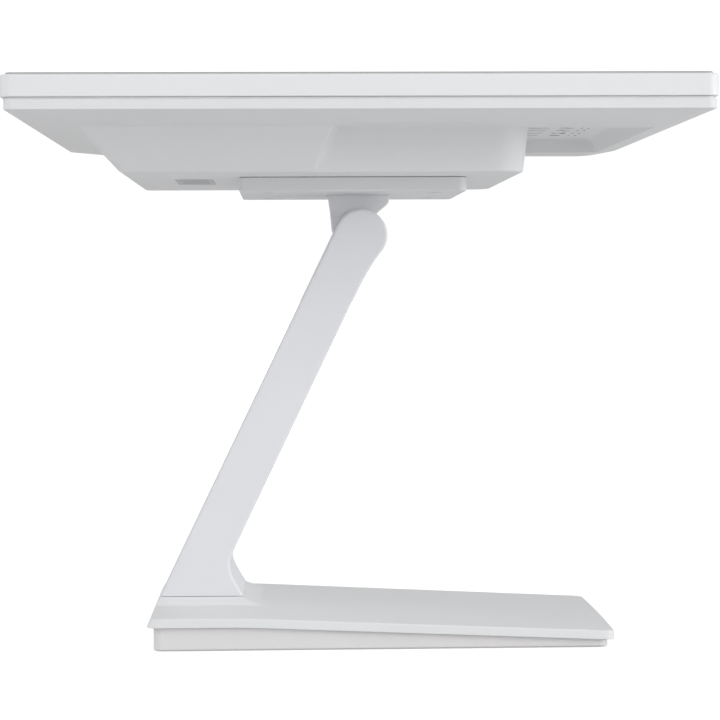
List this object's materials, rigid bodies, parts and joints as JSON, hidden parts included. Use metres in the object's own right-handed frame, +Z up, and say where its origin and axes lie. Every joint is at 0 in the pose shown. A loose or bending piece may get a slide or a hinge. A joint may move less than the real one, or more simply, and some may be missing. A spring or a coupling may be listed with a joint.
{
  "type": "pos touchscreen terminal",
  "caption": "Countertop sales terminal: flat touchscreen head with a computer housing behind it, tilting on a slim leaning arm over a thin wedge-shaped base.",
  "frame": {"origin": "on the counter, at the bottom centre of the whole object's box, under the middle of the display head", "axes": "+Z up; -Y towards the operator (front); X across the screen; the head lies flat, screen up, at rest"},
  "size_m": [0.36, 0.2896, 0.2465],
  "materials": {
    "glass": "polished",
    "bezel_plastic": "fine-textured white",
    "cover_plastic": "fine-textured white",
    "painted_steel": "matte",
    "painted_casting": "satin",
    "arm_plastic": "fine-textured white",
    "base_plastic": "fine-textured white",
    "tray_plastic": "fine-textured warm white",
    "panel": "satin",
    "plated_sheet": "satin",
    "steel": "satin",
    "circuit_board": "satin",
    "heatsink": "satin",
    "black_plastic": "matte",
    "rubber": "matte",
    "bronze": "satin",
    "light_guide": "gloss",
    "ribbon": "satin"
  },
  "bodies": {
    "stand": {"arm": "painted_casting", "arm_bolt_1": "steel", "arm_bolt_2": "steel", "arm_bolt_3": "steel", "arm_bolt_4": "steel", "arm_rear_cover": "arm_plastic", "base_screw_1": "steel", "base_screw_2": "steel", "base_screw_3": "steel", "base_screw_4": "steel", "base_top_cover": "base_plastic", "base_tray": "tray_plastic", "base_weight": "steel", "hinge_bush_left": "bronze", "hinge_bush_right": "bronze", "hinge_cap": "arm_plastic", "rubber_foot_1": "rubber", "rubber_foot_2": "rubber", "rubber_foot_3": "rubber", "rubber_foot_4": "rubber"},
    "head": {"audio_jack": "black_plastic", "button_board": "circuit_board", "cash_drawer_port": "black_plastic", "chassis_plate": "plated_sheet", "cover_screw_1": "steel", "cover_screw_2": "steel", "cover_screw_3": "steel", "cover_screw_4": "steel", "cpu_heatsink": "heatsink", "dc_jack": "black_plastic", "display_ribbon": "ribbon", "front_bezel": "bezel_plastic", "hdmi_port": "plated_sheet", "hinge_bracket": "painted_steel", "hinge_nut": "steel", "hinge_shaft": "steel", "hinge_springs": "steel", "lan_port": "plated_sheet", "lcd_panel": "panel", "mainboard": "circuit_board", "mount_plate": "painted_steel", "mount_screw_1": "steel", "mount_screw_2": "steel", "mount_screw_3": "steel", "mount_screw_4": "steel", "ram_module": "circuit_board", "rear_cover": "cover_plastic", "serial_port": "plated_sheet", "speaker_left": "black_plastic", "speaker_right": "black_plastic", "ssd_module": "circuit_board", "status_led_lens": "light_guide", "touch_controller_board": "circuit_board", "touch_glass": "glass", "usb_stack_1": "plated_sheet", "usb_stack_2": "plated_sheet"},
    "power_button": {"power_button": "bezel_plastic"}
  },
  "joints": [
    {"name": "display_tilt", "type": "hinge", "parent": "stand", "child": "head", "pos_m": [0, -0.00405, 0.1838], "axis": [1, 0, 0], "range_deg": [0, 90]},
    {"name": "power_button_press", "type": "slide", "parent": "head", "child": "power_button", "axis": [0, 1, 0], "range_m": [0, 0.001], "stiffness_N_per_m": 400}
  ]
}
